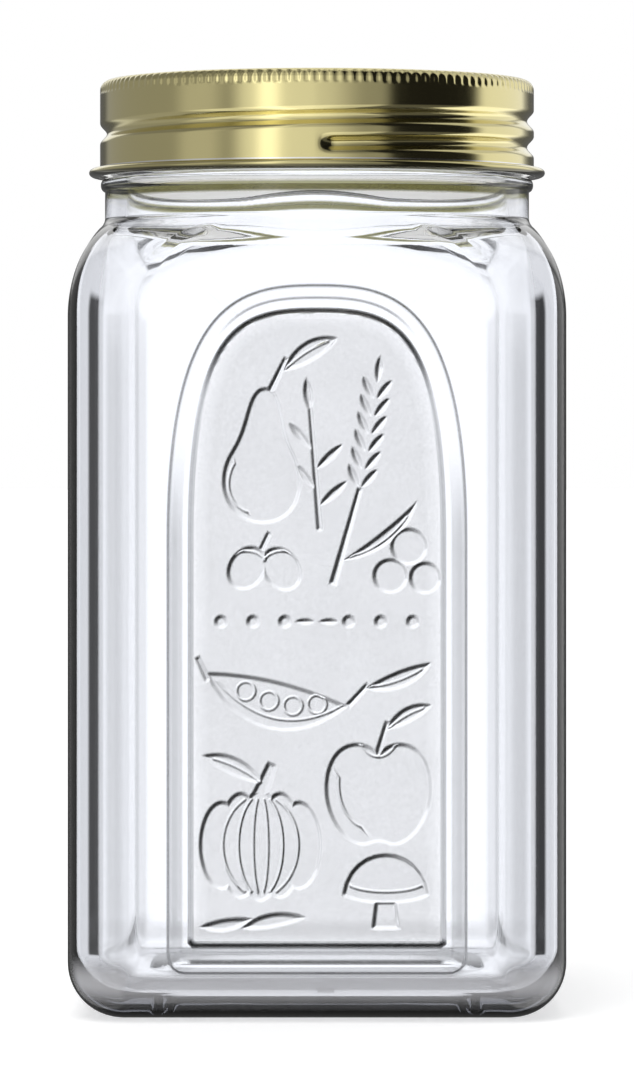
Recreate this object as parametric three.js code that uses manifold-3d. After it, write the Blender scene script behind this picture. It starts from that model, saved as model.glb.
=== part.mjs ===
// A square glass storage jar with a two-piece screw closure: a moulded glass vessel, a rolled sheet-metal
// screw band, a loose metal disc and the sealing ring under the disc's rim.
// Millimetres, +Z up. The origin is the middle of the base. The face with the moulded panel looks to -Y.
import * as THREE from "three";
import { mergeVertices, toCreasedNormals } from "three/addons/utils/BufferGeometryUtils.js";
import Module from "manifold-3d";

// Vessel, outside
const bodyWidth = 102.5;
const cornerRadius = 12;
const heelRadius = 11.3;
const footWidth = 5;
const puntHeight = 2.4;
const puntSlope = 4;
const puntCornerRadius = 9;
const shoulderRise = 21.5;
const shoulderTuck = 3;
const vesselHeight = 191.7;

// Vessel, inside
const wallThickness = 5;
const innerCornerRadius = 11;
const floorHeight = 6.5;
const innerHeelRadius = 9;
const innerRiseDrop = 3.2;
const innerTuck = 2.6;
const innerFilletWidth = 2.8;
const innerFilletHeight = 6;

// Neck and its screw finish
const neckInset = 6.05;
const neckWall = 4.2;
const neckLength = 5.6;
const neckFilletWidth = 1.1;
const neckFilletHeight = 2.3;
const beadHeight = 2.7;
const beadProud = 0.9;
const finishWall = 3;
const lipRadius = 1.1;
const ridgeHeight = 1.35;
const ridgeWidth = 2.6;

// Moulded panel on the front: a ledge round the outside and a deeper field inside it
const panelWidth = 61.1;
const panelFoot = 10;
const panelRunUp = 6.4;
const archRise = 52;
const panelCornerRadius = 3.7;
const ledgeWidth = 4.4;
const ledgeFootHeight = 6.1;
const ledgeCrownHeight = 5.3;
const ledgeDepth = 0.5;
const fieldDepth = 0.9;
const panelDraft = 0.45;

// Screw band
const threadRoom = 1.75;
const bandHeight = 20.7;
const bandSheet = 0.5;
const bandCornerRadius = 2.1;
const flangeWidth = 5.5;
const curlWidth = 2.85;
const curlHeight = 2;
const threadPitch = 5.55;
const grooveDepth = 1.45;
const grooveWidth = 4.6;
const grooveFootHeight = 5.1;
const fluteLength = 2.7;
const fluteWidth = 1.3;
const fluteDepth = 0.25;

// Disc and sealing ring
const discSheet = 0.5;
const discClearance = 0.45;
const discRimRadius = 0.75;
const discRimDrop = 0.7;
const discBeadInset = 6;
const discBeadWidth = 4;
const discBeadDepth = 0.6;
const discButtonDiameter = 26;
const discButtonRise = 0.35;
const sealThickness = 1.2;
const sealWidth = 3.8;
const sealEdge = 0.3;

// Air between pieces that touch on the real jar, and the overrun of a cut past a face
const seatGap = 0.3;
const cutOverrun = 5;

// Shares and counts
const flatColumnShare = 0.62;
const panelSideShare = 0.96;
const squarenessFade = 0.85;
const panelCrownShare = 0.5;
const fieldCrownShare = 0.58;
const ridgeStartTurn = 0.1;
const ridgeTurns = 1.2;
const grooveTurns = 1.5;
const runOutTurnShare = 0.12;
const curlEndTurnShare = 0.8;
const fluteCount = 140;
const vesselColumns = 48;
const closureColumns = 48;
const ridgeRows = 12;
const grooveRows = 12;
const heelSteps = 6;
const shoulderSteps = 7;
const filletSteps = 4;
const beadSteps = 5;
const lipSteps = 3;
const floorSteps = 4;
const archSteps = 9;
const bandCornerSteps = 2;
const curlSteps = 7;
const pressShares = [0, 1 / 4, 1 / 2, 3 / 4, 1];

// Finest detail that is kept apart, and the bend between two faces that shows as an edge
const mergeDistance = 1e-4;
const creaseDegrees = 30;

// Sizes that follow
const quarter = Math.PI / 2;
const bodyHalf = bodyWidth / 2;
const neckRadius = bodyHalf - neckInset;
const mouthRadius = neckRadius - neckWall;
const finishRadius = mouthRadius + finishWall;
const bandRadius = finishRadius + threadRoom + bandSheet;
const wallStraight = bodyHalf - cornerRadius;
const innerReach = bodyHalf - wallThickness;
const innerStraight = innerReach - innerCornerRadius;
const sealBottom = vesselHeight + seatGap;
const discBottom = sealBottom + sealThickness + seatGap;
const bandTop = discBottom + discSheet + seatGap + bandSheet;
const bandBottom = bandTop - bandHeight;
const beadTop = bandBottom - seatGap;
const shoulderHeight = beadTop - beadHeight - neckLength - shoulderRise;
const panelTop = shoulderHeight + panelRunUp;
const panelSpring = panelTop - archRise;
const grooveFoot = bandBottom + grooveFootHeight;
const ridgeFoot = grooveFoot + threadPitch * (ridgeStartTurn + 1 / 2);

const glass = new THREE.MeshStandardMaterial({
  name: "clear_glass",
  color: 0xe9eeee,
  roughness: 0.04,
  metalness: 0,
  transparent: true,
  opacity: 0.35,
});
const goldLacquer = new THREE.MeshStandardMaterial({
  name: "gold_lacquer",
  color: 0xc2ab68,
  roughness: 0.26,
  metalness: 1,
});
const sealCompound = new THREE.MeshStandardMaterial({
  name: "seal_compound",
  color: 0xd9d5cb,
  roughness: 0.7,
  metalness: 0,
});

const wasm = await Module();
wasm.setup();

// Joining and cutting
function solidOf(geometry) {
  const bare = geometry.clone();
  for (const name of ["normal", "uv"]) {
    bare.deleteAttribute(name);
  }
  const merged = mergeVertices(bare, mergeDistance);
  const corners = Array.from(merged.index.array);
  const kept = [];
  for (let at = 0; at < corners.length; at += 3) {
    const [a, b, c] = corners.slice(at, at + 3);
    if (a !== b && b !== c && c !== a) {
      kept.push(a, b, c);
    }
  }
  return new wasm.Manifold(
    new wasm.Mesh({
      numProp: 3,
      vertProperties: merged.attributes.position.array,
      triVerts: new Uint32Array(kept),
    }),
  );
}

function geometryOf(solid) {
  const { vertProperties, triVerts } = solid.getMesh();
  const geometry = new THREE.BufferGeometry();
  geometry.setAttribute("position", new THREE.BufferAttribute(vertProperties, 3));
  geometry.setIndex(new THREE.BufferAttribute(triVerts, 1));
  return toCreasedNormals(geometry, THREE.MathUtils.degToRad(creaseDegrees));
}

// A ring or disc turned about Z: its angle starts at -Y and runs towards +X.
function turned(points, columns) {
  return new THREE.LatheGeometry(points, columns).rotateX(quarter);
}

// Points of an elliptical arc, from one angle to another in radians, both ends included.
function arcPoints(centreX, centreY, radiusX, radiusY, from, to, steps) {
  return new THREE.EllipseCurve(centreX, centreY, radiusX, radiusY, from, to, to < from).getPoints(steps);
}

// How far a thread stands at a point, from 0 to 1: a rounded ridge on a right-hand helix, which fades in
// and out at its ends. turn is the point's place round the axis, in turns from -Y towards +X.
function threadShare(turn, height, { start, turns, foot, width }) {
  let share = 0;
  for (let lap = 0; lap <= start + turns; lap += 1) {
    const along = turn + lap - start;
    const across = (2 * Math.abs(height - foot - threadPitch * along)) / width;
    if (along > 0 && along < turns && across < 1) {
      const end = Math.min(along, turns - along) / runOutTurnShare;
      share = Math.max(share, Math.min(end, 1) * Math.cos((across * Math.PI) / 2) ** 2);
    }
  }
  return share;
}

const ridge = { start: ridgeStartTurn, turns: ridgeTurns, foot: ridgeFoot, width: ridgeWidth };
const groove = { start: 0, turns: grooveTurns, foot: grooveFoot, width: grooveWidth };

// Vessel. A row is one level of the glass: the distance from the axis to the middle of a side, the height,
// the straight half-length of that side, and how much of the section is square, where the rest is round.
function row(reach, height, straight, squareness = 1) {
  return { reach, height, straight, squareness };
}

// A point of a square with round corners, at a share of the way round from the middle of the front side.
// The straight stretches get fewer columns than their length alone would give, and the corners more.
function squarePoint({ reach, straight }, share) {
  if (reach === 0) {
    return [0, 0];
  }
  const side = Math.floor(share * 4) % 4;
  const within = share * 4 - Math.floor(share * 4);
  const corner = reach - straight;
  const flat = (flatColumnShare * straight) / (2 * straight + (corner * Math.PI) / 2);
  let out = reach;
  let along = reach;
  if (within < flat) {
    along = (straight * within) / flat;
  } else if (within > 1 - flat) {
    out = (straight * (1 - within)) / flat;
  } else {
    const angle = (((within - flat) / (1 - 2 * flat)) * Math.PI) / 2;
    out = straight + corner * Math.cos(angle);
    along = straight + corner * Math.sin(angle);
  }
  const turned90 = [
    [along, -out],
    [out, along],
    [-along, out],
    [-out, -along],
  ];
  return turned90[side];
}

// A point of a section that is part square and part round.
function sectionPoint(level, share) {
  const [squareX, squareY] = squarePoint(level, share);
  const round = level.reach * (1 - level.squareness);
  const angle = share * 2 * Math.PI;
  return [
    squareX * level.squareness + round * Math.sin(angle),
    squareY * level.squareness - round * Math.cos(angle),
  ];
}

function footRows() {
  const footOutside = bodyHalf - heelRadius;
  const footInside = footOutside - footWidth;
  const puntReach = footInside - puntSlope;
  const heel = arcPoints(footOutside, heelRadius, heelRadius, heelRadius, -quarter, 0, heelSteps);
  return [
    row(0, puntHeight, 0),
    row(puntReach, puntHeight, puntReach - puntCornerRadius),
    row(footInside, 0, footInside - puntCornerRadius),
    ...heel.map(({ x, y }) => row(x, y, wallStraight)),
  ];
}

// A shoulder, from the top of the square wall up to a round neck: the sides round over on an ellipse while
// the section changes from square to round, and a fillet leads into the neck. The ellipse's crown lies
// inside the neck by the tuck.
function shoulderRows(wall, roundRadius, { rise, tuck, filletWidth, filletHeight }) {
  const crownReach = roundRadius - tuck;
  const overhang = wall.reach - crownReach;
  const tuckShare = tuck / overhang;
  const lastShare = (tuck + filletWidth) / overhang;
  const over = arcPoints(0, shoulderHeight, 1, rise, 0, Math.acos(lastShare), shoulderSteps);
  const rows = over.map(({ x, y }) => {
    const squareness = ((x - tuckShare) / (1 - tuckShare)) ** squarenessFade;
    return row(crownReach + overhang * x, y, wall.straight, squareness);
  });
  const last = rows.pop();
  const tuckHeight = shoulderHeight + rise * Math.sqrt(1 - tuckShare ** 2);
  const fillet = new THREE.QuadraticBezierCurve3(
    new THREE.Vector3(last.reach, last.height, last.squareness),
    new THREE.Vector3(roundRadius, tuckHeight, 0),
    new THREE.Vector3(roundRadius, last.height + filletHeight, 0),
  );
  return [...rows, ...fillet.getPoints(filletSteps).map(({ x, y, z }) => row(x, y, wall.straight, z))];
}

function finishRows() {
  const beadMiddle = beadTop - beadHeight / 2;
  const bead = arcPoints(neckRadius, beadMiddle, beadProud, beadHeight / 2, -quarter, quarter, beadSteps);
  const threadFoot = beadTop + (neckRadius - finishRadius) / 2;
  const lipFoot = vesselHeight - lipRadius;
  const lipArc = (centre, from) => {
    return arcPoints(centre, lipFoot, lipRadius, lipRadius, from, from + quarter, lipSteps);
  };
  const outerLip = lipArc(finishRadius - lipRadius, 0);
  const innerLip = lipArc(mouthRadius + lipRadius, quarter);
  const rows = bead.map(({ x, y }) => row(x, y, 0));
  for (let step = 0; step < ridgeRows; step += 1) {
    rows.push(row(finishRadius, threadFoot + ((lipFoot - threadFoot) * step) / ridgeRows, 0));
  }
  return [...rows, ...[...outerLip, ...innerLip].map(({ x, y }) => row(x, y, 0))];
}

function floorRows() {
  const floorReach = innerReach - innerHeelRadius;
  const bendHeight = floorHeight + innerHeelRadius;
  const bend = arcPoints(floorReach, bendHeight, innerHeelRadius, innerHeelRadius, 0, -quarter, floorSteps);
  return [...bend.map(({ x, y }) => row(x, y, innerStraight)), row(0, floorHeight, 0)];
}

// The whole glass wall is one closed profile, from the axis under the base, up the outside, over the lip
// and down the inside to the axis on the floor. It is turned, squared level by level, and given its thread.
function vesselSolid() {
  const outerWall = { reach: bodyHalf, straight: wallStraight };
  const innerWall = { reach: innerReach, straight: innerStraight };
  const innerShoulder = shoulderRows(innerWall, mouthRadius, {
    rise: shoulderRise - innerRiseDrop,
    tuck: innerTuck,
    filletWidth: innerFilletWidth,
    filletHeight: innerFilletHeight,
  });
  const rows = [
    ...footRows(),
    ...shoulderRows(outerWall, neckRadius, {
      rise: shoulderRise,
      tuck: shoulderTuck,
      filletWidth: neckFilletWidth,
      filletHeight: neckFilletHeight,
    }),
    ...finishRows(),
    ...innerShoulder.reverse(),
    ...floorRows(),
  ];
  const profile = rows.map(({ reach, height }) => new THREE.Vector2(reach, height));
  const geometry = turned(profile, vesselColumns);
  const place = geometry.getAttribute("position");
  for (let at = 0; at < place.count; at += 1) {
    const level = rows[at % rows.length];
    const share = Math.floor(at / rows.length) / vesselColumns;
    const threaded = level.reach === finishRadius;
    const proud = threaded ? ridgeHeight * threadShare(share % 1, level.height, ridge) : 0;
    const [x, y] = sectionPoint({ ...level, reach: level.reach + proud }, share);
    place.setXY(at, x, y);
  }
  return solidOf(geometry);
}

// An arch with a flattened crown on straight sides, round at its two feet.
function archOutline(width, foot, top, crownShare, footRadius) {
  const half = width / 2;
  const sideHeight = panelSpring + panelSideShare * (top - panelSpring);
  const outline = new THREE.Shape();
  outline.moveTo(footRadius - half, foot);
  outline.lineTo(half - footRadius, foot);
  outline.absarc(half - footRadius, foot + footRadius, footRadius, -quarter, 0);
  outline.lineTo(half, panelSpring);
  outline.bezierCurveTo(half, sideHeight, crownShare * half, top, 0, top);
  outline.bezierCurveTo(-crownShare * half, top, -half, sideHeight, -half, panelSpring);
  outline.lineTo(-half, foot + footRadius);
  outline.absarc(footRadius - half, foot + footRadius, footRadius, Math.PI, 3 * quarter);
  return outline;
}

// A sunk step in the front face, with sloping sides. upper is how far below the face the step begins.
function sunkStep(outline, upper, depth) {
  const block = new THREE.ExtrudeGeometry(outline, {
    depth: upper + cutOverrun,
    bevelThickness: depth,
    bevelSize: panelDraft,
    bevelSegments: 1,
    curveSegments: archSteps,
  });
  return solidOf(block.rotateX(quarter).translate(0, upper - bodyHalf, 0));
}

function panelSolid() {
  const ledge = archOutline(
    panelWidth - 2 * panelDraft,
    panelFoot + panelDraft,
    panelTop - panelDraft,
    panelCrownShare,
    panelCornerRadius - panelDraft,
  );
  const field = archOutline(
    panelWidth - 2 * (ledgeWidth + panelDraft),
    panelFoot + ledgeFootHeight + panelDraft,
    panelTop - ledgeCrownHeight - panelDraft,
    fieldCrownShare,
    panelDraft,
  );
  return sunkStep(ledge, 0, ledgeDepth).add(sunkStep(field, ledgeDepth, fieldDepth));
}

// Sheet metal: the closed outline of a sheet that follows a line drawn through the middle of its thickness.
function sheetOutline(line, thickness) {
  const sides = { above: [], below: [] };
  line.forEach((point, at) => {
    const before = line[Math.max(at - 1, 0)];
    const after = line[Math.min(at + 1, line.length - 1)];
    const along = point.x === 0 ? new THREE.Vector2(1, 0) : after.clone().sub(before).normalize();
    const aside = new THREE.Vector2(-along.y, along.x).multiplyScalar(thickness / 2);
    sides.above.push(point.clone().add(aside));
    sides.below.push(point.clone().sub(aside));
  });
  return [...sides.below, ...sides.above.reverse()];
}

function bandSolid() {
  const middle = bandRadius - bandSheet / 2;
  const bend = bandCornerRadius - bandSheet / 2;
  const bendFoot = bandTop - bandCornerRadius;
  const curlMiddle = bandBottom + curlHeight / 2;
  const halfSheet = bandSheet / 2;
  const rollX = curlWidth / 2 - halfSheet;
  const rollY = curlHeight / 2 - halfSheet;
  const curlEnd = Math.PI * (1 + 2 * curlEndTurnShare);
  const skirtTop = bandTop - bandCornerRadius - fluteLength / 2;
  const skirtDrop = bandBottom + curlHeight - skirtTop;
  const skirt = [];
  for (let step = 0; step <= grooveRows; step += 1) {
    skirt.push(new THREE.Vector2(middle, skirtTop + (skirtDrop * step) / grooveRows));
  }
  const line = [
    new THREE.Vector2(bandRadius - flangeWidth, bandTop - halfSheet),
    ...arcPoints(bandRadius - bandCornerRadius, bendFoot, bend, bend, quarter, 0, bandCornerSteps),
    ...skirt,
    ...arcPoints(middle + rollX, curlMiddle, rollX, rollY, Math.PI, curlEnd, curlSteps),
  ];
  const outline = sheetOutline(line, bandSheet);
  const geometry = turned([...outline, outline[0]], closureColumns);
  const place = geometry.getAttribute("position");
  const perColumn = outline.length + 1;
  for (let at = 0; at < place.count; at += 1) {
    const [x, y, height] = [place.getX(at), place.getY(at), place.getZ(at)];
    const reach = Math.hypot(x, y);
    if (reach < bandRadius + halfSheet) {
      const turn = (Math.floor(at / perColumn) / closureColumns) % 1;
      const pressed = (reach - grooveDepth * threadShare(turn, height, groove)) / reach;
      place.setXY(at, x * pressed, y * pressed);
    }
  }
  return knurled(solidOf(geometry));
}

// The grip: upright V-shaped flutes pressed into the band's top edge.
function knurled(band) {
  const flute = new THREE.CylinderGeometry(fluteWidth, fluteWidth, fluteLength + cutOverrun, 4);
  flute.rotateX(quarter);
  flute.scale(1, (2 * fluteDepth) / fluteWidth, 1);
  flute.translate(0, -(bandRadius + fluteDepth), bandTop - fluteLength + (fluteLength + cutOverrun) / 2);
  const flutes = [];
  for (let index = 0; index < fluteCount; index += 1) {
    flutes.push(solidOf(flute.clone().rotateZ((2 * Math.PI * index) / fluteCount)));
  }
  return flutes.reduce((rest, cut) => rest.subtract(cut), band);
}

// The disc: a raised button in the middle, a rolled bead near the mouth's edge and a rim turned down round
// the sealing ring.
function discSolid() {
  const middle = discBottom + discSheet / 2;
  const buttonRadius = discButtonDiameter / 2;
  const beadRadius = mouthRadius - discBeadInset;
  const rimRadius = bandRadius - bandSheet - discClearance - discSheet / 2;
  const bend = discRimRadius - discSheet / 2;
  const button = pressShares.map((share) => {
    const lift = discButtonRise * Math.cos((share * Math.PI) / 2) ** 2;
    return new THREE.Vector2(buttonRadius * share, middle + lift);
  });
  const bead = pressShares.map((share) => {
    const drop = discBeadDepth * Math.sin(share * Math.PI) ** 2;
    return new THREE.Vector2(beadRadius + discBeadWidth * (share - 1 / 2), middle - drop);
  });
  const line = [
    ...button,
    ...bead,
    ...arcPoints(rimRadius - bend, middle - bend, bend, bend, quarter, 0, bandCornerSteps),
    new THREE.Vector2(rimRadius, middle - bend - discRimDrop),
  ];
  return solidOf(turned(sheetOutline(line, discSheet), closureColumns));
}

function sealSolid() {
  const outside = bandRadius - bandSheet - discClearance - discSheet - seatGap;
  const inside = outside - sealWidth;
  const top = sealBottom + sealThickness;
  const edge = sealEdge;
  const section = [
    [inside + edge, sealBottom],
    [outside - edge, sealBottom],
    [outside, sealBottom + edge],
    [outside, top - edge],
    [outside - edge, top],
    [inside + edge, top],
    [inside, top - edge],
    [inside, sealBottom + edge],
    [inside + edge, sealBottom],
  ].map(([reach, height]) => new THREE.Vector2(reach, height));
  return solidOf(turned(section, closureColumns));
}

function piece(name, solid, material) {
  const mesh = new THREE.Mesh(geometryOf(solid), material);
  mesh.name = name;
  return mesh;
}

const closure = new THREE.Group();
closure.name = "closure";
closure.add(piece("screw_band", bandSolid(), goldLacquer));
closure.add(piece("lid_disc", discSolid(), goldLacquer));
closure.add(piece("sealing_ring", sealSolid(), sealCompound));

const storageJar = new THREE.Group();
storageJar.name = "storage_jar";
storageJar.add(piece("jar_body", vesselSolid().subtract(panelSolid()), glass));
storageJar.add(closure);

export default storageJar;
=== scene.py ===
"""A square glass storage jar with a moulded arch panel and a gold screw closure, on a pale floor.

Lengths inside the functions are millimetres unless a name ends in _m. The jar's axis is Z, the front is -Y.
"""

import math

import bmesh
import bpy
import numpy as np
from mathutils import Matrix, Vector
from mathutils.geometry import delaunay_2d_cdt


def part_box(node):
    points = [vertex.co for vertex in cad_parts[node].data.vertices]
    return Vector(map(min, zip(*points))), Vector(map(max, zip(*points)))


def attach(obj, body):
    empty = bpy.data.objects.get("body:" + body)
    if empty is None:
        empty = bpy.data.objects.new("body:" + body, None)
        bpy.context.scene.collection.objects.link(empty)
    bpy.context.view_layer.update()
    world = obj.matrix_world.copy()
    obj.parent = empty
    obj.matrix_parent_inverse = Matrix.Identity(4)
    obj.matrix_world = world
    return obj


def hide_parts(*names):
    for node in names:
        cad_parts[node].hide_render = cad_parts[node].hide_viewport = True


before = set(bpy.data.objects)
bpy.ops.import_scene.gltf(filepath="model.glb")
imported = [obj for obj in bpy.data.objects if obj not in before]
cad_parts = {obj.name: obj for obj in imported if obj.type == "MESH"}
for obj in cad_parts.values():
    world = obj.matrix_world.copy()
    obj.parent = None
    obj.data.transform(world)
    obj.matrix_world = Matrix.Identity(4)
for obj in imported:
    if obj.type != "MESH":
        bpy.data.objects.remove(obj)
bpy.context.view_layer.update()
MM = 0.001
QUARTER = math.pi / 2
THREAD_PITCH = 5.55

bl_info = {
    "name": "Storage Jar",
    "version": (1, 0, 0),
    "blender": (4, 5, 0),
    "location": "View3D > Sidebar > Storage Jar",
    "description": "Models a square glass storage jar with an arched front panel and a gold screw closure",
    "category": "Add Mesh",
}


def box_mm(node):
    """Lowest and highest corner of a piece of the frame, in millimetres."""
    low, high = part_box(node)
    return low / MM, high / MM


VESSEL_HIGH = box_mm("jar_body")[1]
BAND_LOW, BAND_HIGH = box_mm("screw_band")
DISC_LOW, DISC_HIGH = box_mm("lid_disc")
SEAL_LOW, SEAL_HIGH = box_mm("sealing_ring")


# Settings


def length(name, description, default):
    """A length in millimetres that a user may change."""
    return bpy.props.FloatProperty(name=name, description=description, default=default, min=0, precision=2)


def colour(name, description, default):
    """A linear colour that a user may change."""
    return bpy.props.FloatVectorProperty(
        name=name, description=description, default=default, subtype="COLOR", size=3, min=0, max=1
    )


def share(name, description, default):
    """A number from 0 to 1 that a user may change."""
    return bpy.props.FloatProperty(
        name=name, description=description, default=default, min=0, max=1, subtype="FACTOR"
    )


class VesselSettings(bpy.types.PropertyGroup):
    corner_radius: length("Corner radius", "Rounding of the four upright corners, outside", 12)
    inner_corner_radius: length("Inner corner radius", "Rounding of the four upright corners, inside", 11)
    wall: length("Wall", "Thickness of the glass wall", 5)
    heel_radius: length("Heel radius", "Rounding between the wall and the base", 11.3)
    floor_height: length("Floor height", "Height of the inside floor above the table", 6.5)
    neck_diameter: length("Neck diameter", "Outside diameter of the round neck", 90.4)
    mouth_diameter: length("Mouth diameter", "Inside diameter of the neck", 82)
    shoulder_height: length("Shoulder height", "Height at which the wall begins to round in", 144)
    shoulder_rise: length("Shoulder rise", "Height of the rounded shoulder", 21.5)
    shoulder_tuck: length("Shoulder tuck", "How far the shoulder's crown lies inside the neck", 3)
    panel_width: length("Panel width", "Width of the arched panel on the front", 61.1)
    ledge_depth: length("Ledge depth", "Depth of the panel's outer step", 0.5)
    field_depth: length("Field depth", "Depth of the panel's field below the ledge", 0.9)
    relief_height: length("Relief height", "Height of the fruit and vegetable relief", 0.55)
    tint: colour("Tint", "Colour of light that has passed the glass's skin", (1, 1, 1))
    field_tint: colour("Field tint", "Colour of light that has passed the dull field", (1, 0.985, 0.96))
    # Painted reflection: the gold band's colour painted on the glass bead under it
    bead_painted_reflection: colour("Bead tint", "Colour that the bead under the band picks up from it", (0.2, 0.19, 0.07))
    depth_tint: colour("Depth tint", "Colour that the glass takes on where it is deep", (0.485, 0.49, 0.515))
    heel_haze: share("Heel haze", "How much of the light the mould-marked heel scatters", 0.8)
    absorption: bpy.props.FloatProperty(
        name="Absorption", description="How fast the glass takes in light, per metre", default=40, min=0
    )


class ClosureSettings(bpy.types.PropertyGroup):
    sheet: length("Sheet", "Thickness of the tinplate", 0.5)
    thread_pitch: length("Thread pitch", "Rise of the thread in one turn", THREAD_PITCH)
    groove_depth: length("Groove depth", "Depth of the rolled thread in the band", 1.45)
    groove_width: length("Groove width", "Width of the rolled thread in the band", 4.6)
    flutes: bpy.props.IntProperty(name="Flutes", description="Flutes round the grip", default=140, min=3)
    flute_depth: length("Flute depth", "Depth of the grip's flutes", 0.25)
    gold: colour("Gold", "Colour of the lacquered outside", (0.71, 0.635, 0.31))
    tin: colour("Tin", "Colour of the bare tinplate on the curl", (0.86, 0.85, 0.82))
    lining: colour("Lining", "Colour of the lacquer inside the closure", (0.84, 0.84, 0.83))
    seal: colour("Seal", "Colour of the sealing compound", (0.72, 0.69, 0.62))


class StudioSettings(bpy.types.PropertyGroup):
    eye_height: length("Eye height", "Height of the camera above the table", 126.8)
    distance: length("Distance", "Distance from the camera to the jar's axis", 1067)
    frame_height: length("Frame height", "Height of the picture at the jar's axis", 231.8)
    floor_colour: colour("Floor", "Colour of the floor", (0.9, 0.9, 0.9))


# Shader building


def math_method(operation, swapped=False):
    """A method that joins a value with others in one Math node."""

    def join(self, *others):
        inputs = (self, *others)
        return self.builder.math(operation, *(reversed(inputs) if swapped else inputs))

    return join


class Value:
    """A shader socket that can be used in Python sums; each operation adds one Math node."""

    def __init__(self, builder, socket):
        self.builder = builder
        self.socket = socket

    __add__ = __radd__ = math_method("ADD")
    __sub__ = math_method("SUBTRACT")
    __rsub__ = math_method("SUBTRACT", swapped=True)
    __mul__ = __rmul__ = math_method("MULTIPLY")
    __truediv__ = math_method("DIVIDE")
    absolute = math_method("ABSOLUTE")
    larger = math_method("MAXIMUM")
    smaller = math_method("MINIMUM")

    def ramp(self, start, end):
        """0 before start, 1 after end, smooth between."""
        inputs = {"Value": self, "From Min": start, "From Max": end}
        return self.builder.add("ShaderNodeMapRange", {"interpolation_type": "SMOOTHSTEP"}, inputs)

    def window(self, low, high, soft):
        """1 between low and high, with edges soft wide."""
        return self.ramp(low - soft / 2, low + soft / 2) * (1 - self.ramp(high - soft / 2, high + soft / 2))


class NodeBuilder:
    """Adds nodes to a material's or a world's tree."""

    def __init__(self, owner):
        owner.use_nodes = True
        self.tree = owner.node_tree
        self.tree.nodes.clear()

    def add(self, kind, settings=None, inputs=(), output=0):
        """Adds a node with its settings and its sockets' values or links, and gives one of its outputs."""
        node = self.tree.nodes.new(kind)
        for name, value in (settings or {}).items():
            setattr(node, name, value)
        for key, value in inputs.items() if isinstance(inputs, dict) else enumerate(inputs):
            if isinstance(value, Value):
                self.tree.links.new(value.socket, node.inputs[key])
            else:
                node.inputs[key].default_value = value
        return Value(self, node.outputs[output]) if node.outputs else None

    def math(self, operation, *inputs):
        return self.add("ShaderNodeMath", {"operation": operation}, inputs)

    def mix(self, factor, first, second):
        """first where factor is 0 and second where it is 1, for colours."""
        return self.add("ShaderNodeMix", {"data_type": "RGBA"}, {0: factor, 6: first, 7: second}, output=2)

    def mottled(self, rgb, least, noise):
        """A colour that falls to a share of itself, least, where the noise is low."""
        return self.mix(noise, rgba([least * c for c in rgb]), rgba(rgb))

    def parts(self, vector):
        """The x, y and z of a vector."""
        outputs = self.add("ShaderNodeSeparateXYZ", {}, [vector]).socket.node.outputs
        return [Value(self, output) for output in outputs]

    def place(self):
        """A point's x, y and z on its piece, in millimetres."""
        point = self.add("ShaderNodeTexCoord", output="Object")
        return [part / MM for part in self.parts(point)]

    def noise(self, scale, detail, stretch=(1, 1, 1)):
        """Soft noise over the piece. A direction in which stretch is small has long streaks."""
        point = self.add("ShaderNodeTexCoord", output="Object")
        vector = self.add("ShaderNodeMapping", {}, {"Vector": point, "Scale": stretch})
        return self.add("ShaderNodeTexNoise", {}, {"Vector": vector, "Scale": scale, "Detail": detail})

    def rays(self, *kinds):
        """For each kind of ray a value that is 1 for such rays and otherwise 0."""
        outputs = self.add("ShaderNodeLightPath").socket.node.outputs
        return [Value(self, outputs[f"Is {kind} Ray"]) for kind in kinds]

    def principled(self, **inputs):
        """A Principled shader; an underscore in a socket's name stands for a blank."""
        named = {name.replace("_", " "): value for name, value in inputs.items()}
        return self.add("ShaderNodeBsdfPrincipled", {}, named)

    def surface(self, shader, **volume):
        """Links a shader to the material's output, and a volume if there is one."""
        self.add("ShaderNodeOutputMaterial", {}, {"Surface": shader, **volume})


def new_material(name):
    material = bpy.data.materials.new(name)
    return material, NodeBuilder(material)


def rgba(rgb):
    return (*rgb, 1.0)


def glass_material(settings):
    """Clear soda-lime glass with a fire-polished skin. The panel's field is stippled, a little dull and
    painted a little grey, the moulding's steep edges carry painted shade and painted highlights, and the bead
    carries a painted reflection of the band's colour above it."""
    material, build = new_material("clear glass")
    painted_light = build.add("ShaderNodeAttribute", {"attribute_name": PAINTED_LIGHT}, output=2)
    stipple = build.add("ShaderNodeAttribute", {"attribute_name": STIPPLE}, output=2)
    unevenness = 0.14 * build.noise(scale=1500, detail=2) + 0.1 * build.noise(scale=90, detail=3) - 0.12
    # passed is the painted shade and painted highlights of the panel, with a mottle where the field is
    # stippled; it darkens the glass's colour
    passed = painted_light * (1 + stipple * unevenness)
    # painted reflection of the gold band on the bead, between these heights in millimetres
    painted_reflection_at_bead = build.place()[2].window(169.8, 171.9, 0.8)
    tint = build.mix(stipple, rgba(settings.tint), rgba(settings.field_tint))
    tint = build.mix(painted_reflection_at_bead, tint, rgba(settings.bead_painted_reflection))
    glass = build.principled(
        Base_Color=build.mix((passed * passed).smaller(1), rgba((0, 0, 0)), tint),
        Roughness=stipple * 0.1,
        IOR=1.5,
        Transmission_Weight=1.0,
    )
    matt = build.add("ShaderNodeBsdfDiffuse", {}, {"Color": (0.5, 0.5, 0.52, 1)})
    shader = build.add("ShaderNodeMixShader", {}, [heel_scatter(build, settings), glass, matt])
    depth = {"Color": rgba(settings.depth_tint), "Density": settings.absorption}
    build.surface(shader, Volume=build.add("ShaderNodeVolumeAbsorption", {}, depth))
    return material


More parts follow.
